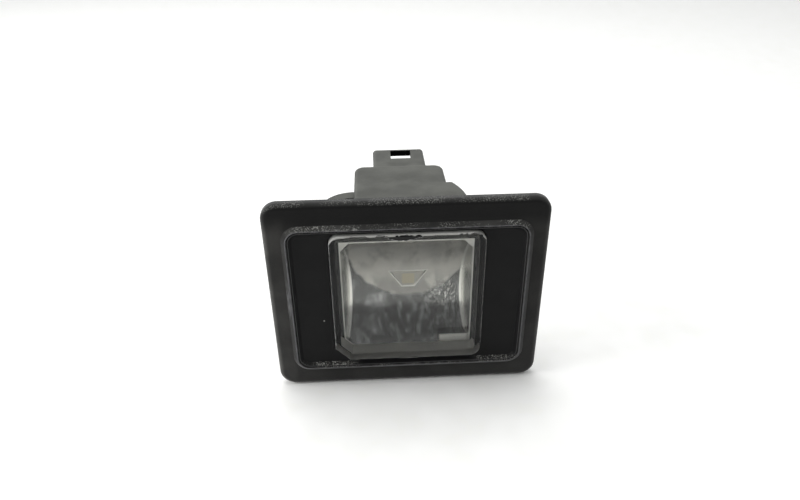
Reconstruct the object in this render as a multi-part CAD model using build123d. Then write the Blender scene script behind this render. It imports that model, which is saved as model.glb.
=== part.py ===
from build123d import *
import os
from math import atan2, degrees, radians, sqrt, tan

# Number plate lamp: a clear lens in a black housing, framed by a soft seal that rests on the bodywork.
# X runs to the right seen from the front, Y from the lens to the connector, Z up.
# The origin is the centre of the seal's rear face, so the bodywork's skin lies at Y = 0.
# All sizes are in millimetres.

# Seal frame
frame_width = 75.0
frame_height = 58.5
frame_corner = 4.5
frame_thickness = 3.3
frame_front_round = 1.5
frame_rear_bevel = 0.6
lip_height = 1.1
lip_bevel = 1.15
lip_land = 0.2
opening_width = 63.4
opening_height = 44.3
opening_x = 0.2
opening_z = -0.35
opening_corner = 3.4
groove_reach = 3.0
rear_web_reach = 1.7
channel_width = 1.0
channel_depth = 0.8

# Front panel of the housing: a plate gripped by the seal, and a raised panel with a sloping rim
plate_recess = 2.4
plate_thickness = 1.2
panel_recess = 1.1
rim_seam = 0.4
rim_wall = 1.0
rim_land = 0.15
rim_drop = 0.3
groove_fit = 0.05

# Lens, a moulded cap with one cut corner
lens_width = 41.2
lens_height = 40.2
lens_center_z = 0.4
lens_corner = 3.0
lens_least_corner = 0.4
lens_cut = 4.0
lens_proud = 1.7
lens_depth = 6.0
lens_wall = 1.6
lens_pane = 1.8
lens_edge_round = 0.5
lens_seam = 0.3
lens_seat_gap = 0.05
gate_width = 5.2
gate_length = 0.9
gate_height = 0.25

# Reflector bowl
reflector_wall = 1.0
reflector_flange = 1.0
aperture_width = 35.8
aperture_height = 33.8
aperture_center_z = -1.2
aperture_cut = 2.4
bowl_depth = 7.4
bowl_vertex_drop = 2.3
bowl_side_draft = 12.0
flange_top_margin = 0.6
pad_width = 8.8
pad_depth = 4.2
pad_height = 2.7
pad_proud = 0.4
pad_bevel = 0.3
pad_clear = 0.4

# Emitter and circuit board
emitter_x = 0.7
emitter_z = -0.4
led_top = 10.2
led_bottom = 3.6
led_height = 5.1
led_proud = 0.4
led_bevel = 0.3
led_fit = 0.1
phosphor_width = 3.6
phosphor_height = 3.4
phosphor_corner = 0.3
phosphor_sink = 0.2
board_gap = 1.3
board_thickness = 1.6
board_margin = 0.8
board_corner = 1.5
resistor_size = (3.2, 1.6, 0.6)
resistor_inset = 4.5
capacitor_size = (2.0, 1.3, 1.2)
diode_size = (4.3, 2.6, 2.1)
upper_chip_inset = 8.4

# Chamber, rear box and connector
body_wall = 1.3
body_round = 1.3
chamber_fit = 0.2
chamber_corner = 6.0
roof_z = 23.0
box_left = -14.0
box_right = 13.1
box_bottom = 8.0
box_rear = 35.9
box_corner = 3.0
shoulder_land = 1.7
shoulder_run = 3.2
shoulder_bow = 0.9
shoulder_rear = 22.9
rib_thickness = 1.3
rib_spacing = 16.0
rib_drop = 11.0
rib_run = 13.0
shroud_width = 16.5
shroud_height = 11.0
shroud_wall = 1.5
shroud_corner = 1.2
shroud_roof_step = 0.8
shroud_length = 14.9
window_width = 6.5
window_length = 6.7
window_strip = 0.8
latch_bar_drop = 0.4
window_x = 0.7
key_width = 1.4
key_height = 0.9

# Terminals
blade_width = 2.8
blade_thickness = 0.8
blade_pitch = 5.0
blade_reach = 8.5
blade_point = 0.6
blade_proud = 1.0
blade_fit = 0.05
collar_width = 4.0
collar_length = 2.0

# Heat stakes that hold the board
stake_radius = 1.1
stake_head_radius = 1.9
stake_head_height = 0.7
stake_head_bevel = 0.35
stake_fit = 0.1
stake_inset = 3.2

# Retaining arm on the left and fixed hook on the right
arm_thickness = 2.2
arm_root_thickness = 3.9
arm_top_z = 21.0
arm_height = 14.0
arm_run = 8.8
arm_rise = 8.7
arm_root_y = 12.6
arm_splay = 9.0
catch_reach = 1.5
catch_slope = 6.0
catch_flat = 1.5
skin_gap = 2.6
hook_reach = 4.2
hook_height = 12.0
hook_length = 7.0
hook_flat = 2.4

# Places along Y that follow from the sizes above
crest_y = -(frame_thickness + lip_height)
rim_front = crest_y + rim_drop
panel_y = crest_y + panel_recess
plate_front = crest_y + plate_recess
plate_rear = plate_front + plate_thickness
lens_front = panel_y - lens_proud
lens_rear = lens_front + lens_depth
seat_y = lens_rear + lens_seat_gap
ledge_y = seat_y + reflector_flange
bowl_apex = seat_y + bowl_depth
led_front = bowl_apex - led_proud
board_front = bowl_apex + reflector_wall + board_gap
board_rear = board_front + board_thickness
chamber_rear = board_rear + body_wall
shroud_rear = box_rear + shroud_length

# Half sizes and edges that more than one piece takes up
plate_width = opening_width + 2 * groove_reach
plate_height = opening_height + 2 * groove_reach
pocket_grow = lens_seam + body_wall
root_sink = body_wall / 2
chamber_half = aperture_width / 2 + reflector_wall + chamber_fit
chamber_floor = aperture_center_z - aperture_height / 2 - reflector_wall - chamber_fit
flange_top = aperture_center_z + aperture_height / 2 + flange_top_margin
shroud_z = roof_z - shroud_roof_step - shroud_height / 2
board_width = 2 * (chamber_half - chamber_corner + body_wall)
board_top = roof_z - body_wall - board_margin
board_bottom = chamber_floor + board_margin
board_center_z = (board_top + board_bottom) / 2


def rounded(width, height, radius):
    """Rounded rectangle about the origin."""
    return RectangleRounded(width, height, radius)


def in_opening(width, height, radius):
    """Rounded rectangle about the centre of the seal's opening."""
    return Pos(opening_x, opening_z) * rounded(width, height, radius)


def facing(sketch, front, rear, taper=0.0):
    """Prism of an XZ outline between two depths, narrowing towards the front by the taper."""
    return extrude(Plane.XZ.offset(-rear) * sketch, amount=rear - front, taper=taper)


def standing(sketch, low, high):
    """Prism of a plan outline between two heights."""
    return extrude(Plane.XY.offset(low) * sketch, amount=high - low)


def block(x, y, z):
    """Box from three (low, high) pairs."""
    size = [high - low for low, high in (x, y, z)]
    middle = [(high + low) / 2 for low, high in (x, y, z)]
    return Pos(*middle) * Box(*size)


def lens_outline(grow):
    """Outline of the lens, grown evenly, with the lower left corner cut off."""
    width = lens_width + 2 * grow
    height = lens_height + 2 * grow
    cut = lens_cut + grow * (2 - sqrt(2))
    sheet = Rectangle(width, height)
    corners = sheet.vertices()
    cut_corner = corners.sort_by(lambda v: v.X + v.Y)[0]
    round_corners = [v for v in corners if v != cut_corner]
    sheet = fillet(round_corners, max(lens_corner + grow, lens_least_corner))
    low_left = sheet.vertices().sort_by(lambda v: v.X + v.Y)[0]
    return Pos(0, lens_center_z) * chamfer(low_left, cut)


def seal_frame():
    """Soft frame: rounded flange, raised bevelled lip, and a groove that grips the housing's plate."""
    frame = facing(rounded(frame_width, frame_height, frame_corner), -frame_thickness, 0)
    frame = fillet(frame.faces().sort_by(Axis.Y)[0].edges(), frame_front_round)
    frame = chamfer(frame.faces().sort_by(Axis.Y)[-1].edges(), frame_rear_bevel)
    foot = lip_land + lip_bevel
    lip_sheet = in_opening(opening_width + 2 * foot, opening_height + 2 * foot, opening_corner + foot)
    lip = facing(lip_sheet, crest_y, -frame_thickness, degrees(atan2(lip_bevel, lip_height)))
    lip = fillet(lip.faces().sort_by(Axis.Y)[0].edges(), lip_land / 2)
    frame += lip
    frame -= facing(in_opening(opening_width, opening_height, opening_corner), crest_y, 0)
    groove = in_opening(plate_width + 2 * groove_fit, plate_height + 2 * groove_fit, opening_corner)
    frame -= facing(groove, plate_front - groove_fit, plate_rear + groove_fit)
    web_width = plate_width - 2 * rear_web_reach
    web_height = plate_height - 2 * rear_web_reach
    frame -= facing(in_opening(web_width, web_height, opening_corner), plate_rear, 0)
    middle_width = (frame_width + plate_width) / 2
    middle_height = (frame_height + plate_height) / 2
    channel = rounded(middle_width + channel_width, middle_height + channel_width, frame_corner)
    inner_corner = frame_corner - channel_width
    channel -= rounded(middle_width - channel_width, middle_height - channel_width, inner_corner)
    frame -= facing(channel, -channel_depth, 0)
    return frame


def chamber_plan(inset):
    """Plan of the chamber behind the plate, with rounded rear corners."""
    half = chamber_half + body_wall - inset
    rear = chamber_rear - inset
    sheet = Pos(0, (rear + plate_rear) / 2) * Rectangle(2 * half, rear - plate_rear)
    return fillet(sheet.vertices().group_by(Axis.Y)[-1], chamber_corner - inset)


def box_plan(inset):
    """Plan of the rear box with its rounded rear corners."""
    left = box_left + inset
    right = box_right - inset
    front = plate_rear
    rear = box_rear - inset
    sheet = Pos((left + right) / 2, (front + rear) / 2) * Rectangle(right - left, rear - front)
    return fillet(sheet.vertices().group_by(Axis.Y)[-1], box_corner - inset)


def shoulder_plan(inset):
    """Plan of the shoulder on the right flank of the rear box: a short land, then a bowed flank."""
    corner = Vector(box_right + shoulder_land - inset, shoulder_rear - inset)
    foot = Vector(box_right + shoulder_land + shoulder_run - inset, chamber_rear - chamber_corner / 2)
    outward = (foot - corner).normalized().rotate(Axis.Z, 90)
    bow = (corner + foot) / 2 + outward * shoulder_bow
    with BuildSketch() as plan:
        with BuildLine():
            inner = Line((0, plate_rear), (0, corner.Y))
            Line(inner @ 1, corner)
            ThreePointArc(corner, bow, foot)
            flank = Line(foot, (foot.X, plate_rear))
            Line(flank @ 1, inner @ 0)
        make_face()
    return plan.sketch


def under_roof(plan):
    """Storey between the floor of the rear box and the roof, with rounded roof edges."""
    storey = standing(plan, box_bottom, roof_z)
    roof_edges = storey.faces().sort_by(Axis.Z)[-1].edges()
    return fillet([e for e in roof_edges if e.center().Y > plate_rear + body_wall], body_round)


def retaining_arm():
    """Curved snap arm that springs in past the edge of the bodywork and catches behind it."""
    slant = tan(radians(arm_splay))
    splay = (arm_root_y - skin_gap) * slant
    outer_x = box_left - arm_run
    inner_x = outer_x + arm_thickness
    tip_x = outer_x - splay
    root_x = box_left + root_sink
    with BuildSketch() as plan:
        with BuildLine():
            bend = (box_left, arm_root_y)
            outer = EllipticalCenterArc(bend, arm_run, arm_rise, start_angle=90, arc_size=90)
            inner_run = arm_run - arm_thickness
            inner_rise = arm_rise - arm_root_thickness
            inner = EllipticalCenterArc(bend, inner_run, inner_rise, start_angle=90, arc_size=90)
            root_rear = (root_x, arm_root_y + arm_rise)
            root_front = (root_x, arm_root_y + inner_rise)
            Polyline(outer @ 0, root_rear, root_front, inner @ 0)
            Polyline(
                outer @ 1,
                (tip_x + slant * catch_slope, skin_gap + catch_slope),
                (tip_x - catch_reach, skin_gap + catch_flat),
                (tip_x - catch_reach, skin_gap),
                (inner_x - splay, skin_gap),
                inner @ 1,
            )
        make_face()
    return standing(plan.sketch, arm_top_z - arm_height, arm_top_z)


def fixed_hook():
    """Rigid nose on the right flank that goes behind the bodywork first."""
    root_x = chamber_half + root_sink
    nose_x = chamber_half + body_wall + hook_reach
    points = [
        (root_x, skin_gap),
        (nose_x, skin_gap),
        (nose_x, skin_gap + hook_flat),
        (root_x, skin_gap + hook_length),
    ]
    sheet = make_face(Polyline(*points, close=True))
    return standing(sheet, -hook_height / 2, hook_height / 2)


def rear_rib(x):
    """Gusset between the chamber's back wall and the underside of the rear box."""
    points = [
        (chamber_rear - root_sink, box_bottom + root_sink),
        (chamber_rear + rib_run, box_bottom + root_sink),
        (chamber_rear - root_sink, box_bottom - rib_drop),
    ]
    sheet = Plane.YZ.offset(x - rib_thickness / 2) * make_face(Polyline(*points, close=True))
    return extrude(sheet, amount=rib_thickness)


def stake_spots():
    """Places of the two heat stakes, near the lower corners of the board."""
    x = board_width / 2 - stake_inset
    z = board_bottom + stake_inset
    return [(-x, z), (x, z)]


def blade_xs():
    """Places of the two terminals across the connector."""
    return [-blade_pitch / 2, blade_pitch / 2]


def connector_shroud():
    """Rectangular collar for the plug, open to the rear, with a latch window and bar and a key rib."""
    outline = Pos(0, shroud_z) * rounded(shroud_width, shroud_height, shroud_corner)
    shroud = facing(outline, box_rear - body_wall, shroud_rear)
    cavity_width = shroud_width - 2 * shroud_wall
    cavity_height = shroud_height - 2 * shroud_wall
    mouth = facing(Pos(0, shroud_z) * Rectangle(cavity_width, cavity_height), box_rear, shroud_rear)
    window_rear = shroud_rear - window_strip
    window = block(
        (window_x - window_width / 2, window_x + window_width / 2),
        (window_rear - window_length, window_rear),
        (shroud_z, shroud_z + shroud_height),
    )
    ceiling_z = shroud_z + cavity_height / 2
    bar = block(
        (window_x - window_width / 2, window_x + window_width / 2),
        (window_rear, shroud_rear),
        (ceiling_z - latch_bar_drop, ceiling_z + shroud_wall / 2),
    )
    floor_z = shroud_z - cavity_height / 2
    key = block(
        (-key_width / 2, key_width / 2),
        (box_rear, shroud_rear - shroud_wall),
        (floor_z - shroud_wall / 2, floor_z + key_height),
    )
    return shroud - mouth - window + bar + key


def front_panel():
    """Plate in the seal's groove, with a panel that rises into the opening and dips inside its rim."""
    plate_sheet = in_opening(plate_width, plate_height, opening_corner - groove_fit)
    rim_width = opening_width - 2 * rim_seam
    rim_height = opening_height - 2 * rim_seam
    rim_corner = opening_corner - rim_seam
    panel = facing(in_opening(rim_width, rim_height, rim_corner), rim_front, plate_front)
    dip_width = rim_width - 2 * rim_wall
    dip_height = rim_height - 2 * rim_wall
    slope = degrees(atan2(rim_wall - rim_land, panel_y - rim_front))
    dip = facing(in_opening(dip_width, dip_height, rim_corner - rim_wall), rim_front, panel_y, -slope)
    return facing(plate_sheet, plate_front, plate_rear) + panel - dip


def housing():
    """One moulding: panel, lens pocket, chamber, rear box, connector shroud, arm and hook."""
    upper = under_roof(chamber_plan(0)) + under_roof(box_plan(0)) + under_roof(shoulder_plan(0))
    lower = standing(chamber_plan(0), chamber_floor - body_wall, box_bottom)
    pocket = facing(lens_outline(pocket_grow), plate_rear, ledge_y + body_wall)
    body = upper + lower + pocket + front_panel() + connector_shroud() + retaining_arm() + fixed_hook()
    for side in (-1, 1):
        body += rear_rib((box_left + box_right + side * rib_spacing) / 2)

    # Hollow the moulding to an even wall, then open the lens pocket from the front
    body -= standing(chamber_plan(body_wall), chamber_floor, roof_z - body_wall) & block(
        (-plate_width, plate_width), (ledge_y, board_rear), (chamber_floor, roof_z)
    )
    upper_room = chamber_plan(body_wall) + box_plan(body_wall) + shoulder_plan(body_wall)
    body -= standing(upper_room, box_bottom + body_wall, roof_z - body_wall) & block(
        (-plate_width, plate_width), (ledge_y + body_wall, box_rear), (box_bottom, roof_z)
    )
    pocket_cut = facing(lens_outline(lens_seam), rim_front, ledge_y)
    top_land = block((-lens_width, lens_width), (lens_rear, ledge_y), (flange_top + chamber_fit, roof_z))
    body -= pocket_cut - top_land

    for x, z in stake_spots():
        stem = facing(Pos(x, z) * Circle(stake_radius), board_front, board_rear + root_sink)
        head = facing(Pos(x, z) * Circle(stake_head_radius), board_front - stake_head_height, board_front)
        body += stem + chamfer(head.faces().sort_by(Axis.Y)[0].edges(), stake_head_bevel)
    for x in blade_xs():
        slot = Rectangle(blade_width + 2 * blade_fit, blade_thickness + 2 * blade_fit)
        body -= facing(Pos(x, shroud_z) * slot, box_rear - 2 * body_wall, box_rear)
    return body


def lens():
    """Clear cap with a plain pane, straight walls and the stub left by its moulding gate."""
    cap = facing(lens_outline(0), lens_front, lens_rear)
    cap = fillet(cap.faces().sort_by(Axis.Y)[0].edges(), lens_edge_round)
    cap -= facing(lens_outline(-lens_wall), lens_front + lens_pane, lens_rear)
    low = lens_center_z - lens_height / 2
    gate_y = (lens_front + panel_y) / 2
    gate = block(
        (-gate_width / 2, gate_width / 2),
        (gate_y - gate_length / 2, gate_y + gate_length / 2),
        (low - gate_height, low + lens_wall / 2),
    )
    return cap + gate


def bowl(grow):
    """Bowl volume: a trough of two tangent arcs between flat side walls that lean inwards."""
    half_width = aperture_width / 2 + grow
    half_height = aperture_height / 2 + grow
    depth = bowl_depth + grow
    end = Plane(origin=(-half_width, seat_y, aperture_center_z), x_dir=(0, 0, 1), z_dir=(1, 0, 0))
    deepest = (-bowl_vertex_drop, -depth)
    with BuildSketch(end) as section:
        with BuildLine():
            upper = TangentArc(deepest, (half_height, 0), tangent=(1, 0))
            lower = TangentArc(deepest, (-half_height, 0), tangent=(-1, 0))
            Line(upper @ 1, lower @ 1)
        make_face()
    trough = extrude(section.sketch, amount=2 * half_width)
    lean = depth * tan(radians(bowl_side_draft))
    plan = make_face(
        Polyline(
            (-half_width, seat_y), (half_width, seat_y), (half_width - lean, seat_y + depth),
            (lean - half_width, seat_y + depth), close=True,
        )
    )
    return trough & standing(plan, aperture_center_z - half_height, aperture_center_z + half_height)


def led_outline():
    """Outline of the emitter's package, a trapezoid that is wider at its top."""
    half_height = led_height / 2
    corners = [
        (-led_top / 2, half_height),
        (led_top / 2, half_height),
        (led_bottom / 2, -half_height),
        (-led_bottom / 2, -half_height),
    ]
    return Pos(emitter_x, emitter_z) * make_face(Polyline(*corners, close=True))


def reflector():
    """Metallised bowl with a seating flange, an emitter hole and a raised pad."""
    low = aperture_center_z - aperture_height / 2
    flange_low = lens_center_z - lens_height / 2
    below_land = block((-lens_width, lens_width), (seat_y, board_rear), (flange_low, flange_top))
    envelope = facing(lens_outline(0), seat_y, board_rear) & below_land
    flange = facing(lens_outline(0), seat_y, ledge_y)
    aperture = Rectangle(aperture_width, aperture_height)
    cut_corners = aperture.vertices().sort_by(lambda v: v.Y - v.X)[1:]
    aperture = Pos(0, aperture_center_z) * chamfer(cut_corners, aperture_cut)
    clear = facing(aperture, seat_y, board_rear)
    body = ((flange + bowl(reflector_wall)) & envelope) - (bowl(0) & clear)
    pad_right = aperture_width / 2
    pad_left = pad_right - pad_width
    pad = block((pad_left, pad_right), (seat_y, seat_y + pad_depth), (low, low + pad_height))
    body += pad & bowl(reflector_wall / 2)
    face = block(
        (pad_left, pad_right - pad_clear), (seat_y - pad_proud, seat_y), (low + pad_clear, low + pad_height)
    )
    face = chamfer(face.faces().sort_by(Axis.Y)[0].edges(), pad_bevel)
    opening = offset(led_outline(), led_fit, kind=Kind.INTERSECTION)
    return body + face - facing(opening, seat_y, board_rear)


def led_body():
    """Pale emitter package that fills the opening in the bowl, with a shallow well for the phosphor."""
    package = facing(led_outline(), led_front, board_front)
    package = chamfer(package.faces().sort_by(Axis.Y)[0].edges(), led_bevel)
    return package - phosphor_well()


def phosphor_well():
    """Filled well in the face of the package."""
    well = Pos(emitter_x, emitter_z) * rounded(phosphor_width, phosphor_height, phosphor_corner)
    return facing(well, led_front, led_front + phosphor_sink)


def circuit_board():
    """Board on the chamber's back wall, with holes for the stakes and slots for the terminals."""
    outline = Pos(0, board_center_z) * rounded(board_width, board_top - board_bottom, board_corner)
    board = facing(outline, board_front, board_rear)
    for x, z in stake_spots():
        board -= facing(Pos(x, z) * Circle(stake_radius + stake_fit), board_front, board_rear)
    for x in blade_xs():
        slot = Rectangle(blade_width + 2 * blade_fit, blade_thickness + 2 * blade_fit)
        board -= facing(Pos(x, shroud_z) * slot, board_front, board_rear)
    return board


def resistor_spots():
    """Places of the two resistors above the board's lower edge."""
    z = board_bottom + resistor_inset
    return [(-board_width / 4, z), (board_width / 4, z)]


def chip(spot, size):
    """Small surface-mounted part standing on the front of the board."""
    width, height, thickness = size
    body = facing(Pos(*spot) * Rectangle(width, height), board_front - thickness, board_front)
    return chamfer(body.faces().sort_by(Axis.Y)[0].edges(), thickness / 8)


def terminal(x):
    """Straight blade from the board through the rear box into the connector, with a stop collar."""
    front = board_front - blade_proud
    rear = box_rear + blade_reach
    blade = facing(Pos(x, shroud_z) * Rectangle(blade_width, blade_thickness), front, rear)
    tip = blade.faces().sort_by(Axis.Y)[-1].edges()
    blade = chamfer(tip, blade_point / 2, blade_point / 2)
    wall_front = box_rear - body_wall
    collar = facing(
        Pos(x, shroud_z) * Rectangle(collar_width, blade_thickness), wall_front - collar_length, wall_front
    )
    return blade + collar


pieces = {
    "seal_frame": seal_frame(),
    "housing": housing(),
    "lens": lens(),
    "reflector": reflector(),
    "circuit_board": circuit_board(),
    "led_body": led_body(),
    "led_phosphor": phosphor_well(),
    "resistors": Compound(children=[chip(spot, resistor_size) for spot in resistor_spots()]),
    "capacitor": chip((board_width / 3, board_top - upper_chip_inset), capacitor_size),
    "protection_diode": chip((-board_width / 3, board_top - upper_chip_inset), diode_size),
    "terminal_left": terminal(blade_xs()[0]),
    "terminal_right": terminal(blade_xs()[1]),
}

os.makedirs("parts", exist_ok=True)
for name, piece in pieces.items():
    export_step(piece, f"parts/{name}.step")
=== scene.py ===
"""Looks of a car's number plate lamp: finishes, table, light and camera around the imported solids."""

import logging
import math
from collections.abc import Mapping
from dataclasses import dataclass, field
from enum import Enum
from typing import Any

import bpy
from mathutils import Matrix, Vector


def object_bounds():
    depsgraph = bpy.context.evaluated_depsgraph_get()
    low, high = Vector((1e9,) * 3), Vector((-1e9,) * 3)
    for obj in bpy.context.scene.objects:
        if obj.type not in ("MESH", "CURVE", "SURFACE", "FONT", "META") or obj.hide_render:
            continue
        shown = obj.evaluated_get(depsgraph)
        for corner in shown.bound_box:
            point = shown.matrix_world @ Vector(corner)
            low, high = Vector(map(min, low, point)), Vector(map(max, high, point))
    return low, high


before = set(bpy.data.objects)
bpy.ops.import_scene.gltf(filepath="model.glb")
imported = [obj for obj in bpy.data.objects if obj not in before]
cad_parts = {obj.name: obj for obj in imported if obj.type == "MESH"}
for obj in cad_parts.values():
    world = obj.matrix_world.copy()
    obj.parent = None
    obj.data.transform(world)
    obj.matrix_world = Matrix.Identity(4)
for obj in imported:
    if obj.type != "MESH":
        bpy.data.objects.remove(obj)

CAD_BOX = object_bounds()
MM = 0.001
LOG = logging.getLogger("number_plate_lamp")

# Places in the lamp's frame that the finishes follow
LIP_CREST_MM = -4.4
PANEL_RIM_MM = -4.1
LENS_FRONT_MM = -5.0
LENS_REAR_MM = 1.0
BOWL_SEAT_MM = 1.05
BOWL_HALF_MM = 17.9
BOWL_TOP_MM = 15.7

Socket = bpy.types.NodeSocket
Tree = bpy.types.NodeTree
Inputs = Mapping[str | int, Any]
Pair = tuple[float, float]
Triple = tuple[float, float, float]


class Solid(str, Enum):
    """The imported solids, by their names in the frame."""

    SEAL = "seal_frame"
    HOUSING = "housing"
    LENS = "lens"
    REFLECTOR = "reflector"
    BOARD = "circuit_board"
    LED_BODY = "led_body"
    LED_PHOSPHOR = "led_phosphor"
    RESISTORS = "resistors"
    CAPACITOR = "capacitor"
    DIODE = "protection_diode"
    TERMINAL_LEFT = "terminal_left"
    TERMINAL_RIGHT = "terminal_right"


class Axis(str, Enum):
    """Axes of the lamp's frame."""

    X = "X"
    Y = "Y"
    Z = "Z"


class Side(Enum):
    """Which way a surface faces: an axis of the lamp's frame and the sign along it."""

    UP = (Axis.Z, 1.0)
    LEFT = (Axis.X, -1.0)
    FRONT = (Axis.Y, -1.0)


def linear(code: str) -> tuple[float, float, float, float]:
    """Turns an sRGB hex colour into linear light.

    Args:
        code: Colour such as "#1A2B3C".

    Returns:
        Linear red, green, blue and an alpha of one.
    """
    shares = [int(code[i : i + 2], 16) / 255 for i in (1, 3, 5)]
    lit = [s / 12.92 if s <= 0.04045 else ((s + 0.055) / 1.055) ** 2.4 for s in shares]
    return (lit[0], lit[1], lit[2], 1.0)


def feed(tree: Tree, node: bpy.types.Node, inputs: Inputs) -> None:
    """Wires or sets a node's inputs.

    Args:
        tree: Node tree that holds the node.
        node: The node.
        inputs: Input name or number to a socket to link, or to a value to set.
    """
    for key, value in inputs.items():
        if isinstance(value, Socket):
            tree.links.new(value, node.inputs[key])
        else:
            node.inputs[key].default_value = value


def add_node(tree: Tree, kind: str, inputs: Inputs | None = None, **settings: Any) -> bpy.types.Node:
    """Adds one node, sets its choices, and wires or sets its inputs.

    Args:
        tree: Node tree that gets the node.
        kind: Blender's name for the node's type.
        inputs: Input name or number to a socket to link, or to a value to set.
        settings: The node's own choices, such as its operation.

    Returns:
        The new node.
    """
    node = tree.nodes.new(kind)
    for name, choice in settings.items():
        setattr(node, name, choice)
    feed(tree, node, inputs or {})
    return node


def calculate(tree: Tree, operation: str, *values: Socket | float) -> Socket:
    """Adds one step of arithmetic.

    Args:
        tree: Node tree that gets the node.
        operation: Blender's name for the operation.
        values: Its inputs, in order.

    Returns:
        The result as a socket.
    """
    return add_node(tree, "ShaderNodeMath", dict(enumerate(values)), operation=operation).outputs[0]


def product(tree: Tree, *shares: Socket | float) -> Socket:
    """Multiplies masks and numbers together.

    Args:
        tree: Node tree that gets the nodes.
        shares: Two or more masks or numbers.

    Returns:
        The product as a socket.
    """
    result = shares[0]
    for share in shares[1:]:
        result = calculate(tree, "MULTIPLY", result, share)
    return result


def larger(tree: Tree, *masks: Socket) -> Socket:
    """Takes the largest of several masks at each point.

    Args:
        tree: Node tree that gets the nodes.
        masks: One or more masks.

    Returns:
        The largest as a socket.
    """
    result = masks[0]
    for mask in masks[1:]:
        result = calculate(tree, "MAXIMUM", result, mask)
    return result


def rest(tree: Tree, share: Socket) -> Socket:
    """Turns a mask round, so that it covers what was left out."""
    return calculate(tree, "SUBTRACT", 1.0, share)


def ramp(tree: Tree, value: Socket, start: float, full: float, to: Pair = (0.0, 1.0)) -> Socket:
    """Grows smoothly from one value to another.

    Args:
        tree: Node tree that gets the node.
        value: What the growth follows.
        start: Its level at which the growth begins.
        full: Its level at which the growth ends.
        to: The two values.

    Returns:
        The grown value as a socket.
    """
    return add_node(
        tree,
        "ShaderNodeMapRange",
        {"Value": value, "From Min": start, "From Max": full, "To Min": to[0], "To Max": to[1]},
        interpolation_type="SMOOTHSTEP",
    ).outputs["Result"]


def whereabouts(tree: Tree) -> Socket:
    """Place of each point in the lamp's frame, in metres."""
    return add_node(tree, "ShaderNodeTexCoord").outputs["Object"]


def along(tree: Tree, axis: Axis) -> Socket:
    """Place of each point along an axis of the lamp's frame, in metres."""
    return add_node(tree, "ShaderNodeSeparateXYZ", {0: whereabouts(tree)}).outputs[axis.value]


def blend(tree: Tree, share: Socket, one: Any, other: Any) -> Socket:
    """Mixes two colours by a mask.

    Args:
        tree: Node tree that gets the node.
        share: Mask of the second colour.
        one: First colour or socket.
        other: Second colour or socket.

    Returns:
        The mixed colour.
    """
    return add_node(
        tree, "ShaderNodeMix", {0: share, 6: one, 7: other}, data_type="RGBA"
    ).outputs[2]


def between(tree: Tree, share: Socket, one: Any, other: Any) -> Socket:
    """Mixes two numbers by a mask.

    Args:
        tree: Node tree that gets the node.
        share: Mask of the second number.
        one: First number or socket.
        other: Second number or socket.

    Returns:
        The mixed number.
    """
    return add_node(
        tree, "ShaderNodeMix", {0: share, 2: one, 3: other}, data_type="FLOAT"
    ).outputs[0]


def relief(tree: Tree, height: Socket, depth_mm: float) -> Socket:
    """Makes a fine relief.

    Args:
        tree: Node tree that gets the node.
        height: Pattern from nought to one.
        depth_mm: Real depth of the relief.

    Returns:
        The normal of the relief.
    """
    return add_node(
        tree, "ShaderNodeBump", {"Height": height, "Distance": depth_mm * MM, "Strength": 1.0}
    ).outputs["Normal"]


@dataclass(frozen=True)
class Facing:
    """Surfaces that face a side; the mask grows between two shares of the normal along it."""

    side: Side
    low: float
    high: float

    def on(self, tree: Tree) -> Socket:
        """Adds the mask, from nought to one."""
        axis, sign = self.side.value
        normal = add_node(tree, "ShaderNodeNewGeometry").outputs["Normal"]
        share = add_node(tree, "ShaderNodeSeparateXYZ", {0: normal}).outputs[axis.value]
        return ramp(tree, share, sign * self.low, sign * self.high)


@dataclass(frozen=True)
class Span:
    """Stretch along an axis of the lamp's frame over which a mask grows."""

    axis: Axis
    start_mm: float
    full_mm: float

    def on(self, tree: Tree, waver: Socket | None = None) -> Socket:
        """Adds the mask.

        Args:
            tree: Node tree that gets the nodes.
            waver: Length in metres added to the place, for an uneven edge.

        Returns:
            Mask from nought to one.
        """
        place = along(tree, self.axis)
        if waver is not None:
            place = calculate(tree, "ADD", place, waver)
        return ramp(tree, place, self.start_mm * MM, self.full_mm * MM)


@dataclass(frozen=True)
class Spot:
    """Round patch seen from the front: middle along X and Z, radius, and half the width of its edge."""

    x_mm: float
    z_mm: float
    radius_mm: float
    soft_mm: float

    def on(self, tree: Tree, waver: Socket | None = None) -> Socket:
        """Adds the mask.

        Args:
            tree: Node tree that gets the nodes.
            waver: Length in metres added to the distance, for an uneven edge.

        Returns:
            Mask from nought to one.
        """
        flat = add_node(
            tree,
            "ShaderNodeVectorMath",
            {0: whereabouts(tree), 1: (1.0, 0.0, 1.0)},
            operation="MULTIPLY",
        ).outputs[0]
        middle = (self.x_mm * MM, 0.0, self.z_mm * MM)
        away = add_node(
            tree, "ShaderNodeVectorMath", {0: flat, 1: middle}, operation="DISTANCE"
        ).outputs["Value"]
        if waver is not None:
            away = calculate(tree, "ADD", away, waver)
        far, near = self.radius_mm + self.soft_mm, self.radius_mm - self.soft_mm
        return ramp(tree, away, far * MM, near * MM)


@dataclass(frozen=True)
class Cloud:
    """Cloudy pattern of a real size, from a first value at a low noise level to a second at a high one."""

    size_mm: float | Triple
    low: float = 0.3
    high: float = 0.7
    to: Pair = (0.0, 1.0)
    detail: float = 3.0

    def on(self, tree: Tree) -> Socket:
        """Adds the pattern.

        Args:
            tree: Node tree that gets the nodes.

        Returns:
            The pattern as a socket.
        """
        widths = self.size_mm if isinstance(self.size_mm, tuple) else (self.size_mm,) * 3
        scaled = add_node(
            tree,
            "ShaderNodeVectorMath",
            {0: whereabouts(tree), 1: tuple(1 / (width * MM) for width in widths)},
            operation="MULTIPLY",
        ).outputs[0]
        noise = add_node(
            tree, "ShaderNodeTexNoise", {"Vector": scaled, "Scale": 1.0, "Detail": self.detail}
        ).outputs["Fac"]
        return ramp(tree, noise, self.low, self.high, self.to)


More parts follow.
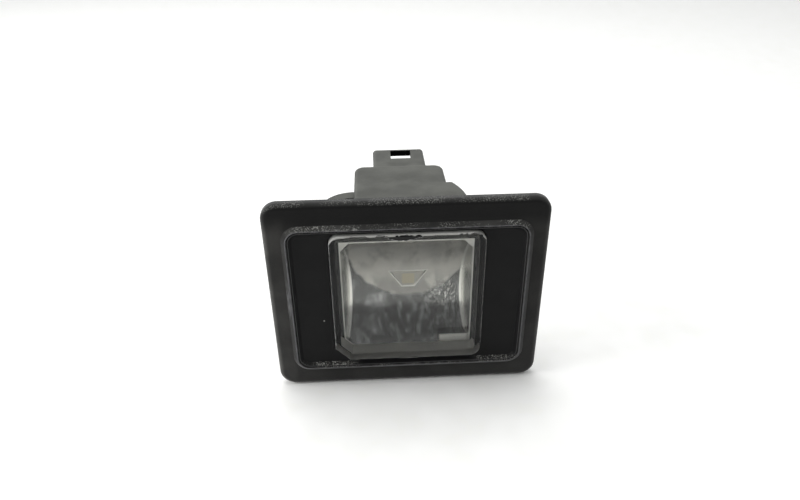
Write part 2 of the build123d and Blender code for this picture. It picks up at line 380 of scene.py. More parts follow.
@dataclass(frozen=True)
class SettledDust:
    """Pale road dust: a thin film with grains caught in it, on what faces up."""

    colour: str = "#A8A8A3"
    film: float = 0.1
    film_cloud: Cloud = Cloud(10.0, to=(0.7, 1.3))
    grains: float = 0.8
    grain: Cloud = Cloud(0.34, 0.5, 0.62, detail=2.0)
    drift: Cloud = Cloud(5.0, 0.34, 0.6, (0.1, 1.0))
    lies_on: Facing = Facing(Side.UP, 0.25, 0.7)

    def share(self, tree: Tree) -> Socket:
        """Mask of how much of the surface the dust covers."""
        caught = product(tree, self.grain.on(tree), self.drift.on(tree), self.grains)
        film = product(tree, self.film_cloud.on(tree), self.film)
        return product(tree, larger(tree, caught, film), self.lies_on.on(tree))


@dataclass(frozen=True)
class Finish:
    """What every finish has: a name, a colour and how it meets light."""

    name: str
    colour: str
    roughness: float
    ior: float = 1.5
    specular: float = 0.5
    metallic: float = 0.0
    sheen: float = 0.0

    def material(self) -> bpy.types.Material:
        """Makes the material.

        Returns:
            A material with one shader, dressed by the finish.
        """
        made = bpy.data.materials.new(self.name)
        made.use_nodes = True
        tree = made.node_tree
        tree.nodes.clear()
        plain = {
            "Base Color": linear(self.colour),
            "Roughness": self.roughness,
            "Metallic": self.metallic,
            "Specular IOR Level": self.specular,
            "Sheen Weight": self.sheen,
        }
        if not self.metallic:
            plain["IOR"] = self.ior
        shader = add_node(tree, "ShaderNodeBsdfPrincipled", plain)
        feed(tree, shader, self.dressing(tree))
        add_node(tree, "ShaderNodeOutputMaterial", {"Surface": shader.outputs["BSDF"]})
        return made

    def dressing(self, tree: Tree) -> Inputs:
        """What sets this finish apart from a plain colour.

        Args:
            tree: Node tree that gets the nodes.

        Returns:
            Inputs of the shader, by their names.
        """
        raise NotImplementedError


@dataclass(frozen=True)
class MouldedRubber(Finish):
    """Moulded black rubber: dull, soft sheen on round edges, pale where dust lies or it was rubbed, with
    painted light making the left side and the lower part paler and a painted highlight along the lip's
    crest.
    """

    grain: Cloud = Cloud(0.5)
    grain_depth_mm: float = 0.012
    gloss: Cloud = Cloud(6.0, 0.35)
    gloss_loss: float = 0.12
    # road film and painted light: this colour also makes the left side and the lower part paler
    film_and_painted_light_colour: str = "#444341"
    film_cloud: Cloud = Cloud(9.0, to=(0.6, 1.15))
    low_film_and_painted_light: float = 0.5
    low_film_and_painted_light_top: Span = Span(Axis.Z, 25.0, 20.0)
    left_film_and_painted_light: float = 0.95
    left_film_and_painted_light_edge: Span = Span(Axis.X, -30.0, -33.5)
    left_film_and_painted_light_top: Span = Span(Axis.Z, 27.0, 20.0)
    film_and_painted_light_on_lip: float = 0.35
    lip: Span = Span(Axis.Y, LIP_CREST_MM + 1.2, LIP_CREST_MM + 1.0)
    # painted highlight along the lip's crest
    crest_highlight: Span = Span(Axis.Y, LIP_CREST_MM + 0.14, LIP_CREST_MM + 0.04)
    crest_highlight_cloud: Cloud = Cloud(2.0, 0.3, 0.6, (0.3, 0.7))
    # colour of the rubbed slope and of the painted crest highlight
    rubbed_and_highlight_colour: str = "#6F6F72"
    rubbed_share: float = 0.55
    rubbed_spot: Spot = Spot(-32.2, 0.5, 5.0, 2.5)
    rubbed_streaks: Cloud = Cloud((0.5, 0.5, 3.0), 0.4, 0.64)
    rubbed_edges: tuple[Span, ...] = (Span(Axis.X, -31.6, -31.8), Span(Axis.X, -33.1, -32.9))
    rubbed_side: Facing = Facing(Side.LEFT, 0.2, 0.5)
    dust: SettledDust = SettledDust()
    dust_roughness: float = 0.95
    thin_dust: float = 0.42
    swept: Spot = Spot(4.0, 24.0, 12.0, 6.0)

    def film(self, tree: Tree) -> Socket:
        """Mask of the road film and painted light, thickest on the left and thin on the upper bar and the
        lip.

        Args:
            tree: Node tree that gets the nodes.

        Returns:
            Mask from nought to one.
        """
        low = product(tree, self.low_film_and_painted_light_top.on(tree), self.low_film_and_painted_light)
        left = product(
            tree, self.left_film_and_painted_light_edge.on(tree), self.left_film_and_painted_light_top.on(tree), self.left_film_and_painted_light
        )
        wiped = between(tree, self.lip.on(tree), 1.0, self.film_and_painted_light_on_lip)
        return product(tree, larger(tree, low, left), self.film_cloud.on(tree), wiped)

    def rubbed_and_crest_highlight(self, tree: Tree) -> Socket:
        """Mask of the rubber polished pale by rubbing on the lip's left slope in streaks, and of a painted
        highlight along its crest.

        Args:
            tree: Node tree that gets the nodes.

        Returns:
            Mask from nought to one.
        """
        slope = product(
            tree,
            *(edge.on(tree) for edge in self.rubbed_edges),
            self.rubbed_streaks.on(tree),
            self.rubbed_side.on(tree),
            self.rubbed_spot.on(tree),
            self.rubbed_share,
        )
        # painted highlight on the crest
        crest_highlight = product(tree, self.crest_highlight.on(tree), self.crest_highlight_cloud.on(tree))
        return larger(tree, slope, crest_highlight)

    def dressing(self, tree: Tree) -> Inputs:
        """The mould's grain, the road film with painted light, the rubbed places, the painted crest
        highlight and the dust.

        Args:
            tree: Node tree that gets the nodes.

        Returns:
            Inputs of the shader, by their names.
        """
        # road film, with painted light on the left side and the lower part
        body = blend(tree, self.film(tree), linear(self.colour), linear(self.film_and_painted_light_colour))
        # rubbed slope, and painted highlight on the crest
        body = blend(tree, self.rubbed_and_crest_highlight(tree), body, linear(self.rubbed_and_highlight_colour))
        kept = product(tree, self.lip.on(tree), rest(tree, self.swept.on(tree)))
        caught = between(tree, kept, self.thin_dust, 1.0)
        settled = product(tree, self.dust.share(tree), caught)
        body = blend(tree, settled, body, linear(self.dust.colour))
        dullest = self.roughness + self.gloss_loss
        dull = between(tree, self.gloss.on(tree), self.roughness, dullest)
        return {
            "Base Color": body,
            "Roughness": between(tree, settled, dull, self.dust_roughness),
            "Normal": relief(tree, self.grain.on(tree), self.grain_depth_mm),
        }


@dataclass(frozen=True)
class MouldedPlastic(Finish):
    """Injection-moulded black plastic: even and satin, greyed on the roof behind the frame by dust and by
    painted light from above, with a painted highlight on the panel's rim.
    """

    grain: Cloud = Cloud(0.45)
    grain_depth_mm: float = 0.006
    gloss: Cloud = Cloud(6.0, 0.35)
    gloss_spread: Pair = (-0.04, 0.06)
    behind: Span = Span(Axis.Y, 0.0, 0.5)
    # dust film with painted light from above, on the roof
    film_and_painted_light_colour: str = "#72736D"
    film: float = 0.55
    film_cloud: Cloud = Cloud(7.0, 0.25, 0.75, (0.8, 1.2))
    film_and_painted_light_lies_on: Facing = Facing(Side.UP, 0.2, 0.9)
    # painted highlight on the crest of the panel's rim
    highlight_rim: Span = Span(Axis.Y, PANEL_RIM_MM + 0.1, PANEL_RIM_MM + 0.03)
    highlight_rim_colour: str = "#595959"
    highlight_rim_share: float = 0.6
    clean: Spot = Spot(2.5, -21.0, 17.5, 3.0)
    speck: Spot = Spot(-23.3, -6.7, 0.2, 0.1)
    speck_side: Facing = Facing(Side.FRONT, 0.5, 0.9)
    dust: SettledDust = SettledDust(film=0.05)
    dust_roughness: float = 0.95

    def specks(self, tree: Tree, behind: Socket) -> Socket:
        """Mask of the grains in the recess and the single speck on the front panel.

        Args:
            tree: Node tree that gets the nodes.
            behind: Mask of what lies behind the frame.

        Returns:
            Mask from nought to one.
        """
        before = rest(tree, behind)
        grains = product(tree, self.dust.share(tree), before, rest(tree, self.clean.on(tree)))
        speck = product(tree, self.speck.on(tree), self.speck_side.on(tree), before)
        return larger(tree, grains, speck)

    def dressing(self, tree: Tree) -> Inputs:
        """The spark-eroded grain, the dust film with painted light on the roof, the painted highlight on
        the rim and the grains in the recess.

        Args:
            tree: Node tree that gets the nodes.

        Returns:
            Inputs of the shader, by their names.
        """
        behind = self.behind.on(tree)
        specks = self.specks(tree, behind)
        # dust film with painted light from above, on the roof
        film = product(
            tree, self.film_cloud.on(tree), self.film, behind, self.film_and_painted_light_lies_on.on(tree)
        )
        # painted highlight on the rim
        highlight_rim = product(tree, self.highlight_rim.on(tree), self.highlight_rim_share)
        body = blend(tree, film, linear(self.colour), linear(self.film_and_painted_light_colour))
        body = blend(tree, highlight_rim, body, linear(self.highlight_rim_colour))
        body = blend(tree, specks, body, linear(self.dust.colour))
        least, most = (self.roughness + change for change in self.gloss_spread)
        dull = between(tree, self.gloss.on(tree), least, most)
        return {
            "Base Color": body,
            "Roughness": between(tree, specks, dull, self.dust_roughness),
            "Normal": relief(tree, self.grain.on(tree), self.grain_depth_mm),
        }


@dataclass(frozen=True)
class ClearPolycarbonate(Finish):
    """Moulded clear polycarbonate: bends what lies behind it; dusty on top, dark where it is welded, with a
    patchy painted highlight on its front edges and painted shade on its upper front edge.
    """

    gloss_colour: str = "#9A9A9A"
    haze: Cloud = Cloud(4.0, 0.4, 0.75)
    haze_roughness: float = 0.05
    caked_colour: str = "#ADADA8"
    caked_share: float = 0.95
    caked_edge: Span = Span(Axis.Y, LENS_FRONT_MM, LENS_FRONT_MM + 0.2)
    caked_waver: Cloud = Cloud(2.4, to=(-0.4 * MM, 0.3 * MM))
    caked_blotch: Cloud = Cloud((1.4, 0.7, 0.7), 0.2, 0.4, (0.6, 1.0))
    caked_side: Facing = Facing(Side.UP, 0.15, 0.4)
    # patches of painted highlight on the lens's front edges
    patchy_edge_highlight: Cloud = Cloud(1.2, 0.35, 0.6)
    edge_highlight_share: float = 0.3
    highlight_rim: Facing = Facing(Side.FRONT, 0.15, 0.4)
    pane: Facing = Facing(Side.FRONT, 0.75, 0.95)
    worn_roughness: float = 0.6
    # painted shade on the lens's upper front edge, below the dust
    painted_shade_colour: str = "#101010"
    painted_shade_spot: Spot = Spot(-0.8, 30.0, 11.1, 0.12)
    painted_shade_waver: Cloud = Cloud(1.6, to=(-0.3 * MM, 0.3 * MM))
    painted_shade_side: Facing = Facing(Side.FRONT, 0.3, 0.6)
    weld_colour: str = "#101010"
    weld: Span = Span(Axis.Y, LENS_REAR_MM - 0.1, LENS_REAR_MM - 0.02)
    weld_roughness: float = 1.0

    def dust_and_edge_highlight(self, tree: Tree, painted_shade: Socket) -> Socket:
        """Mask of the caked dust with its uneven edge, and of the patchy painted highlight on the rim.

        Args:
            tree: Node tree that gets the nodes.
            painted_shade: Mask of the painted shade, which the painted highlight leaves free.

        Returns:
            Mask from nought to one.
        """
        caked = product(
            tree,
            self.caked_edge.on(tree, self.caked_waver.on(tree)),
            self.caked_blotch.on(tree),
            self.caked_side.on(tree),
            self.caked_share,
        )
        # painted highlight on the front edges, in patches
        patchy_edge_highlight = product(
            tree,
            self.highlight_rim.on(tree),
            rest(tree, self.pane.on(tree)),
            self.patchy_edge_highlight.on(tree),
            rest(tree, painted_shade),
            self.edge_highlight_share,
        )
        return larger(tree, caked, patchy_edge_highlight)

    def dressing(self, tree: Tree) -> Inputs:
        """The caked dust, the painted highlight on the rim, the painted shade below the dust, the weld and
        a faint haze.

        Args:
            tree: Node tree that gets the nodes.

        Returns:
            Inputs of the shader, by their names.
        """
        # painted shade on the upper front edge
        painted_shade_patch = self.painted_shade_spot.on(tree, self.painted_shade_waver.on(tree))
        painted_shade = product(tree, painted_shade_patch, self.painted_shade_side.on(tree))
        dust_and_edge_highlight = self.dust_and_edge_highlight(tree, painted_shade)
        weld = self.weld.on(tree)
        body = blend(tree, weld, linear(self.colour), linear(self.weld_colour))
        body = blend(tree, painted_shade, body, linear(self.painted_shade_colour))
        body = blend(tree, dust_and_edge_highlight, body, linear(self.caked_colour))
        hazed = self.roughness + self.haze_roughness
        dull = between(tree, self.haze.on(tree), self.roughness, hazed)
        dull = between(tree, dust_and_edge_highlight, dull, self.worn_roughness)
        return {
            "Base Color": body,
            "Roughness": between(tree, weld, dull, self.weld_roughness),
            "Transmission Weight": rest(tree, larger(tree, dust_and_edge_highlight, weld, painted_shade)),
            "Specular Tint": linear(self.gloss_colour),
        }


@dataclass(frozen=True)
class MetallisedPlastic(Finish):
    """Vacuum-metallised plastic dulled by age: painted reflection makes it pale round the emitter, with
    painted highlights and reflections in lines and spots; streaked below, dark at the outer part of the
    seat.
    """

    waves: Cloud = Cloud(5.0, 0.2, 0.8, detail=1.0)
    wave_depth_mm: float = 0.03
    # painted reflection: pale zone round the emitter, fading lower down and mottled
    painted_reflection_colour: str = "#F4F2ED"
    painted_reflection_low_colour: str = "#A09F9C"
    painted_reflection_fade: Span = Span(Axis.Z, 9.0, -4.0)
    haze_and_painted_reflection_spot: Spot = Spot(0.7, 11.0, 17.0, 0.6)
    haze_and_painted_reflection_waver: Cloud = Cloud(3.0, to=(-0.25 * MM, 0.25 * MM))
    haze_and_painted_reflection_cloud: Cloud = Cloud(6.0, 0.2, 0.6, (0.75, 1.0))
    haze_roughness: float = 0.34
    painted_reflection_mottle_colour: str = "#D0CFCA"
    painted_reflection_mottle_cloud: Cloud = Cloud((3.4, 6.0, 7.0), 0.46, 0.68)
    # painted reflection: another level on the upper sides
    upper_painted_reflection_colour: str = "#666767"
    upper_painted_reflection: Span = Span(Axis.Z, -9.8, -8.0)
    # colour of the streaks and of the painted reflections in blotches
    streak_and_painted_reflection_colour: str = "#D0D1D3"
    streaks: Cloud = Cloud((1.6, 3.0, 3.4), 0.48, 0.66)
    streak_low: float = 0.45
    streak_upper_painted_reflection: float = 0.2
    # painted reflections in blotches and flecks at given places
    painted_reflection_blotches: Cloud = Cloud(1.6, 0.3, 0.6, (0.4, 1.0))
    painted_reflection_blotch_share: float = 0.36
    painted_reflection_blotch_spots: tuple[Spot, ...] = (
        Spot(-8.8, -8.4, 2.9, 1.45),
        Spot(-10.2, -13.9, 2.3, 1.15),
        Spot(-14.5, -16.3, 1.8, 0.9),
    )
    painted_reflection_flecks: Cloud = Cloud((0.42, 0.6, 0.9), 0.5, 0.62, detail=2.0)
    painted_reflection_fleck_share: float = 0.45
    painted_reflection_fleck_spots: tuple[Spot, ...] = (Spot(11.4, -6.0, 4.6, 3.68), Spot(14.6, -15.4, 2.6, 2.08))
    # painted highlight lines beside the side walls and round the emitter
    painted_highlight_colour: str = "#F2F2EE"
    highlight_line_mm: Pair = (0.9, 0.6)
    wall_colour: str = "#E4E4E0"
    wall_mm: Pair = (0.15, 0.05)
    side_draft: float = 12.0
    emitter_mm: Pair = (0.7, -0.4)
    hole_mm: Triple = (10.2, 3.6, 5.1)
    hole_edge_mm: Pair = (0.52, 0.32)
    band_colour: str = "#F4F4F0"
    # dark colour of the flange's outer part
    bare_colour: str = "#181818"
    flange_side: Facing = Facing(Side.FRONT, 0.96, 0.99)
    flange_edges: tuple[Span, ...] = (
        Span(Axis.Y, BOWL_SEAT_MM + 0.1, BOWL_SEAT_MM + 0.05),
        Span(Axis.Y, BOWL_SEAT_MM - 0.1, BOWL_SEAT_MM - 0.05),
    )
    # the flange's outer part is dark
    dark_flange_edges: tuple[Span, ...] = (
        Span(Axis.X, BOWL_HALF_MM + 0.3, BOWL_HALF_MM + 0.4),
        Span(Axis.X, -BOWL_HALF_MM - 0.3, -BOWL_HALF_MM - 0.4),
        Span(Axis.Z, BOWL_TOP_MM + 0.3, BOWL_TOP_MM + 0.4),
    )
    pad_colour: str = "#FCFCF9"
    pad: Span = Span(Axis.Y, BOWL_SEAT_MM - 0.1, BOWL_SEAT_MM - 0.2)
    seat_roughness: float = 0.62

    def near_wall(self, tree: Tree, edge_mm: Pair) -> Socket:
        """Mask of what lies near one of the leaning side walls.

        Args:
            tree: Node tree that gets the nodes.
            edge_mm: Distances from the wall at which the mask begins and is full.

        Returns:
            Mask from nought to one.
        """
        lean = math.tan(math.radians(self.side_draft))
        mouth = (BOWL_HALF_MM + lean * BOWL_SEAT_MM) * MM
        wall = calculate(tree, "MULTIPLY_ADD", along(tree, Axis.Y), -lean, mouth)
        across = calculate(tree, "ABSOLUTE", along(tree, Axis.X))
        inwards = calculate(tree, "SUBTRACT", wall, across)
        return ramp(tree, inwards, edge_mm[0] * MM, edge_mm[1] * MM)

    def highlight_round_emitter(self, tree: Tree) -> Socket:
        """Mask of a painted highlight on the edge round the emitter's hole, a trapezoid that is wider at
        its top.

        Args:
            tree: Node tree that gets the nodes.

        Returns:
            Mask from nought to one.
        """
        x, z = self.emitter_mm
        top, foot, height = self.hole_mm
        far, near = self.hole_edge_mm
        lean = (top - foot) / (2 * height)
        middle = ((top + foot) / 4 - lean * z) * MM
        half = calculate(tree, "MULTIPLY_ADD", along(tree, Axis.Z), lean, middle)
        aside = calculate(tree, "SUBTRACT", along(tree, Axis.X), x * MM)
        across = calculate(tree, "ABSOLUTE", aside)
        outside = calculate(tree, "SUBTRACT", across, half)
        upper, lower = z + height / 2, z - height / 2
        return product(
            tree,
            ramp(tree, outside, far * MM, near * MM),
            Span(Axis.Z, upper + far, upper + near).on(tree),
            Span(Axis.Z, lower - far, lower - near).on(tree),
        )

    def coating(self, tree: Tree, haze: Socket) -> Socket:
        """Colour of the bowl: streaks below, the hazed zone with its painted reflection, painted
        reflections as blotches and flecks, and painted highlights on edges.

        Args:
            tree: Node tree that gets the nodes.
            haze: Mask of the hazed zone, which also carries the painted reflection.

        Returns:
            The colour as a socket.
        """
        # painted reflection on the upper sides
        upper_painted_reflection = self.upper_painted_reflection.on(tree)
        body = blend(tree, upper_painted_reflection, linear(self.colour), linear(self.upper_painted_reflection_colour))
        share = between(tree, upper_painted_reflection, self.streak_low, self.streak_upper_painted_reflection)
        streaks = product(tree, self.streaks.on(tree), share)
        body = blend(tree, streaks, body, linear(self.streak_and_painted_reflection_colour))
        # painted reflection in the hazed zone
        faded = self.painted_reflection_fade.on(tree)
        pale = blend(tree, faded, linear(self.painted_reflection_colour), linear(self.painted_reflection_low_colour))
        pale = blend(tree, self.painted_reflection_mottle_cloud.on(tree), pale, linear(self.painted_reflection_mottle_colour))
        body = blend(tree, haze, body, pale)
        # painted reflections as blotches and flecks
        painted_reflection_blotched = larger(tree, *(spot.on(tree) for spot in self.painted_reflection_blotch_spots))
        painted_reflection_blotches = product(tree, painted_reflection_blotched, self.painted_reflection_blotches.on(tree), self.painted_reflection_blotch_share)
        body = blend(tree, painted_reflection_blotches, body, linear(self.streak_and_painted_reflection_colour))
        painted_reflection_flecked = larger(tree, *(spot.on(tree) for spot in self.painted_reflection_fleck_spots))
        painted_reflection_flecks = product(tree, self.painted_reflection_flecks.on(tree), painted_reflection_flecked, self.painted_reflection_fleck_share)
        # painted highlights: flecks, the emitter's outline and lines beside the side walls
        for bright in (painted_reflection_flecks, self.highlight_round_emitter(tree), self.near_wall(tree, self.highlight_line_mm)):
            body = blend(tree, bright, body, linear(self.painted_highlight_colour))
        return blend(tree, self.near_wall(tree, self.wall_mm), body, linear(self.wall_colour))

    def dressing(self, tree: Tree) -> Inputs:
        """The bowl's coating with its painted reflections and highlights, the flange with its dark outer
        part, the pad and the moulding's waves.

        Args:
            tree: Node tree that gets the nodes.

        Returns:
            Inputs of the shader, by their names.
        """
        # hazed zone, which also carries the painted reflection
        zone = self.haze_and_painted_reflection_spot.on(tree, self.haze_and_painted_reflection_waver.on(tree))
        haze = product(tree, zone, self.haze_and_painted_reflection_cloud.on(tree))
        edges = (edge.on(tree) for edge in self.flange_edges)
        flange = product(tree, self.flange_side.on(tree), *edges)
        beside = larger(tree, *(edge.on(tree) for edge in self.dark_flange_edges))
        pad = self.pad.on(tree)
        body = blend(tree, flange, self.coating(tree, haze), linear(self.band_colour))
        # dark outer part of the flange
        body = blend(tree, product(tree, flange, beside), body, linear(self.bare_colour))
        body = blend(tree, pad, body, linear(self.pad_colour))
        dull = between(tree, haze, self.roughness, self.haze_roughness)
        return {
            "Base Color": body,
            "Roughness": between(tree, larger(tree, flange, pad), dull, self.seat_roughness),
            "Normal": relief(tree, self.waves.on(tree), self.wave_depth_mm),
        }


@dataclass(frozen=True)
class Laminate(Finish):
    """Solder mask on glass-fibre laminate: glossy, with the cloth of the laminate faintly showing."""

    warp: Cloud = Cloud((0.6, 1.0, 3.6), 0.4, 0.6)
    weft: Cloud = Cloud((3.6, 1.0, 0.6), 0.4, 0.6)
    thread_depth_mm: float = 0.01
    light_colour: str = "#2C6B45"
    light_share: float = 0.4

    def dressing(self, tree: Tree) -> Inputs:
        """The cloth's weave and the paler mask over its threads.

        Args:
            tree: Node tree that gets the nodes.

        Returns:
            Inputs of the shader, by their names.
        """
        cloth = larger(tree, self.warp.on(tree), self.weft.on(tree))
        pale = product(tree, cloth, self.light_share)
        return {
            "Base Color": blend(tree, pale, linear(self.colour), linear(self.light_colour)),
            "Normal": relief(tree, cloth, self.thread_depth_mm),
        }


@dataclass(frozen=True)
class Granular(Finish):
    """Pressed or cast body of fine grains: matt, with a slightly uneven colour."""

    grain: Cloud = Cloud(0.2, 0.35, 0.65)
    grain_depth_mm: float = 0.004
    grain_roughness: float = 0.1
    other_colour: str = field(kw_only=True)
    other_share: float = 0.3
    # painted highlight on the bevelled edges, if given
    highlight_edge_colour: str | None = None
    edge: Facing = Facing(Side.FRONT, 0.95, 0.85)

    def dressing(self, tree: Tree) -> Inputs:
        """The grain in colour, roughness and relief, and edges with a painted highlight colour if one is
        given.

        Args:
            tree: Node tree that gets the nodes.

        Returns:
            Inputs of the shader, by their names.
        """
        grain = self.grain.on(tree)
        other = product(tree, grain, self.other_share)
        body = blend(tree, other, linear(self.colour), linear(self.other_colour))
        if self.highlight_edge_colour:
            body = blend(tree, self.edge.on(tree), body, linear(self.highlight_edge_colour))
        dullest = self.roughness + self.grain_roughness
        return {
            "Base Color": body,
            "Roughness": between(tree, grain, self.roughness, dullest),
            "Normal": relief(tree, grain, self.grain_depth_mm),
        }


@dataclass(frozen=True)
class TinnedBrass(Finish):
    """Stamped brass with a dull tin plating: grey metal with fine drawing lines along the blade."""

    lines: Cloud = Cloud((0.12, 8.0, 0.12), 0.35, 0.65)
    line_depth_mm: float = 0.003
    line_roughness: Pair = (-0.06, 0.1)
    bare: Cloud = Cloud(2.5, 0.6, 0.75)
    bare_colour: str = "#B89A5E"
    bare_share: float = 0.5

    def dressing(self, tree: Tree) -> Inputs:
        """The lines left by the strip mill, and brass showing through the tin.

        Args:
            tree: Node tree that gets the nodes.

        Returns:
            Inputs of the shader, by their names.
        """
        lines = self.lines.on(tree)
        bare = product(tree, self.bare.on(tree), self.bare_share)
        least, most = (self.roughness + change for change in self.line_roughness)
        return {
            "Base Color": blend(tree, bare, linear(self.colour), linear(self.bare_colour)),
            "Roughness": between(tree, lines, least, most),
            "Normal": relief(tree, lines, self.line_depth_mm),
        }


@dataclass(frozen=True)
class TableTop(Finish):
    """White coated board: nearly matt, shown white to the camera, in reflections and through the lens."""

    cloud: Cloud = Cloud(8.0)
    other_colour: str = "#F1F1EE"
    shown: float = 1.15

    def dressing(self, tree: Tree) -> Inputs:
        """The faint unevenness of the coating, and the lift to white that lights nothing.

        Args:
            tree: Node tree that gets the nodes.

        Returns:
            Inputs of the shader, by their names.
        """
        board = blend(tree, self.cloud.on(tree), linear(self.colour), linear(self.other_colour))
        path = add_node(tree, "ShaderNodeLightPath").outputs
        seen = larger(
            tree, path["Is Camera Ray"], path["Is Glossy Ray"], path["Is Transmission Ray"]
        )
        level = between(tree, seen, 1.0, self.shown)
        shade = add_node(
            tree, "ShaderNodeVectorMath", {0: board, "Scale": level}, operation="SCALE"
        ).outputs[0]
        return {"Base Color": shade}


def put_on(solid: Solid, finish: Finish) -> None:
    """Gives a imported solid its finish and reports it."""
    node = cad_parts[solid.value]
    node.data.materials.clear()
    node.data.materials.append(finish.material())
    LOG.info("%s: %s", solid.value, finish.name)


@dataclass
class SealFrame:
    """Soft frame that rests on the bodywork."""

    finish: Finish = MouldedRubber(
        "moulded_black_rubber", "#0D0D0D", 0.5, specular=0.06, sheen=0.27
    )

    def dress(self) -> None:
        """Gives the frame its rubber."""
        put_on(Solid.SEAL, self.finish)


@dataclass
class Housing:
    """Moulding that carries everything, with the plug collar behind."""

    finish: Finish = MouldedPlastic(
        "moulded_black_polyamide", "#101011", 0.46, ior=1.53, specular=0.12
    )

    def dress(self) -> None:
        """Gives the housing its plastic."""
        put_on(Solid.HOUSING, self.finish)


@dataclass
class Optic:
    """Clear lens over the metallised bowl."""

    lens: Finish = ClearPolycarbonate("moulded_clear_polycarbonate", "#F3F3F1", 0.02, ior=1.585)
    bowl: Finish = MetallisedPlastic("vacuum_metallised_plastic", "#626363", 0.26, metallic=1.0)

    def dress(self) -> None:
        """Gives the lens and the bowl their finishes."""
        put_on(Solid.LENS, self.lens)
        put_on(Solid.REFLECTOR, self.bowl)


@dataclass
class Electronics:
    """Emitter, board, chips and terminals."""

    board: Finish = Laminate("solder_mask_on_laminate", "#1F5436", 0.3, ior=1.55)
    # the package's bevels get a painted highlight
    package: Finish = Granular(
        "pale_moulded_package", "#EDEBE2", 0.5, other_colour="#D8D5CA", highlight_edge_colour="#FFFEF8"
    )
    phosphor: Finish = Granular("phosphor_in_silicone", "#F8F1DA", 0.45, other_colour="#EFE6C8")
    epoxy: Finish = Granular("black_moulded_epoxy", "#1C1C1E", 0.5, other_colour="#343436")
    ceramic: Finish = Granular("tan_sintered_ceramic", "#A3825C", 0.6, other_colour="#876743")
    blade: Finish = TinnedBrass("tinned_stamped_brass", "#BDBAB2", 0.32, metallic=1.0)

    def dress(self) -> None:
        """Gives each electrical piece its finish."""
        put_on(Solid.BOARD, self.board)
        put_on(Solid.LED_BODY, self.package)
        put_on(Solid.LED_PHOSPHOR, self.phosphor)
        put_on(Solid.RESISTORS, self.epoxy)
        put_on(Solid.DIODE, self.epoxy)
        put_on(Solid.CAPACITOR, self.ceramic)
        put_on(Solid.TERMINAL_LEFT, self.blade)
        put_on(Solid.TERMINAL_RIGHT, self.blade)


@dataclass(frozen=True)
class Table:
    """Wide white table just under the lamp's lower edge."""

    half_m: float = 3.0
    drop_mm: float = 0.02
    finish: Finish = TableTop("white_coated_board", "#F6F6F4", 0.6)

    def build(self) -> None:
        """Lays the table."""
        low = CAD_BOX[0].z - self.drop_mm * MM
        half = self.half_m
        corners = [(-half, -half, low), (half, -half, low), (half, half, low), (-half, half, low)]
        mesh = bpy.data.meshes.new("table")
        mesh.from_pydata(corners, [], [(0, 1, 2, 3)])
        table = bpy.data.objects.new("table", mesh)
        bpy.context.scene.collection.objects.link(table)
        mesh.materials.append(self.finish.material())
        LOG.info("table: %s", self.finish.name)


@dataclass(frozen=True)
class Sky:
    """Even light all round, dimmer where the viewer stands, and white behind the table."""

    colour: str = "#E8E9EA"
    strength: float = 0.9
    shown: float = 1.1
    white: float = 1.0
    viewer_toward: Triple = (0.0, -0.92, 0.38)
    viewer_edge: Pair = (0.5, 0.85)
    viewer_shade: float = 0.25

    def build(self) -> None:
        """Makes the world that holds the light."""
        world = bpy.data.worlds.new("soft_light")
        world.use_nodes = True
        bpy.context.scene.world = world
        tree = world.node_tree
        tree.nodes.clear()
        toward = tuple(Vector(self.viewer_toward).normalized())
        direction = add_node(tree, "ShaderNodeTexCoord").outputs["Generated"]
        nearness = add_node(
            tree, "ShaderNodeVectorMath", {0: direction, 1: toward}, operation="DOT_PRODUCT"
        ).outputs["Value"]
        levels = (self.strength, self.strength * self.viewer_shade)
        strength = ramp(tree, nearness, *self.viewer_edge, levels)
        path = add_node(tree, "ShaderNodeLightPath").outputs
        seen = larger(tree, path["Is Glossy Ray"], path["Is Transmission Ray"])
        strength = product(tree, strength, between(tree, seen, 1.0, self.shown))
        strength = between(tree, path["Is Camera Ray"], strength, self.white)
        light = add_node(
            tree, "ShaderNodeBackground", {"Color": linear(self.colour), "Strength": strength}
        ).outputs[0]
        add_node(tree, "ShaderNodeOutputWorld", {"Surface": light})


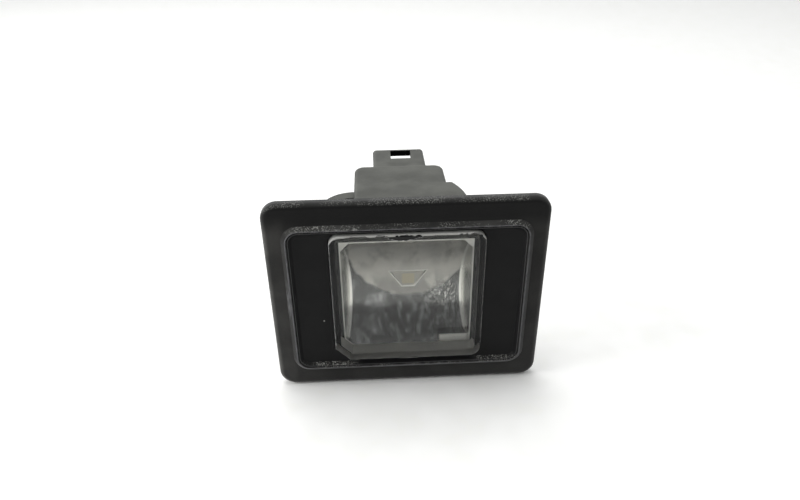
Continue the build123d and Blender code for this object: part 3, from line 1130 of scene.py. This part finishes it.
@dataclass(frozen=True)
class SoftLight:
    """Large round light that shines on the middle of the lamp's frame."""

    name: str
    place_mm: Triple
    size_mm: float
    watts: float

    def build(self) -> None:
        """Hangs the light."""
        light = bpy.data.lights.new(self.name, "AREA")
        light.shape = "DISK"
        light.size = self.size_mm * MM
        light.energy = self.watts
        hung = bpy.data.objects.new(self.name, light)
        hung.location = Vector(self.place_mm) * MM
        hung.rotation_euler = (-hung.location).to_track_quat("-Z", "Y").to_euler()
        bpy.context.scene.collection.objects.link(hung)


@dataclass(frozen=True)
class Viewpoint:
    """Camera where the photographer stood, with its turns in degrees."""

    place_mm: Triple = (-7.964, -148.492, 99.088)
    yaw: float = 2.37
    pitch: float = 29.985
    roll: float = -0.79
    focal_mm: float = 28.8
    sensor_mm: float = 36.0

    def build(self) -> None:
        """Places the camera."""
        yaw, pitch, roll = (math.radians(turn) for turn in (self.yaw, self.pitch, self.roll))
        ahead = Vector(
            (math.sin(yaw) * math.cos(pitch), math.cos(yaw) * math.cos(pitch), -math.sin(pitch))
        )
        level = ahead.cross(Vector((0, 0, 1))).normalized()
        upright = level.cross(ahead)
        right = math.cos(roll) * level + math.sin(roll) * upright
        top = math.cos(roll) * upright - math.sin(roll) * level
        turn = Matrix((right, top, -ahead)).transposed().to_4x4()
        data = bpy.data.cameras.new("camera")
        data.sensor_width = self.sensor_mm
        data.lens = self.focal_mm
        data.clip_start = MM
        camera = bpy.data.objects.new("camera", data)
        camera.matrix_world = Matrix.Translation(Vector(self.place_mm) * MM) @ turn
        bpy.context.scene.collection.objects.link(camera)
        bpy.context.scene.camera = camera


@dataclass
class Studio:
    """White table, soft light all round, two large lights and the camera."""

    table: Table = Table()
    sky: Sky = Sky()
    ceiling: SoftLight = SoftLight("ceiling_light", (-150.0, 250.0, 800.0), 700.0, 3.6)
    window: SoftLight = SoftLight("window_light", (-800.0, -60.0, 300.0), 500.0, 4.8)
    viewpoint: Viewpoint = Viewpoint()

    def build(self) -> None:
        """Sets up the table, the light and the camera."""
        for piece in (self.table, self.sky, self.ceiling, self.window, self.viewpoint):
            piece.build()
        bpy.context.scene.view_settings.view_transform = "Standard"


def main() -> None:
    """Builds the sub-assemblies in order."""
    logging.basicConfig(level=logging.INFO, format="%(name)s %(message)s")
    Studio().build()
    SealFrame().dress()
    Housing().dress()
    Optic().dress()
    Electronics().dress()


if __name__ == "__main__":
    main()
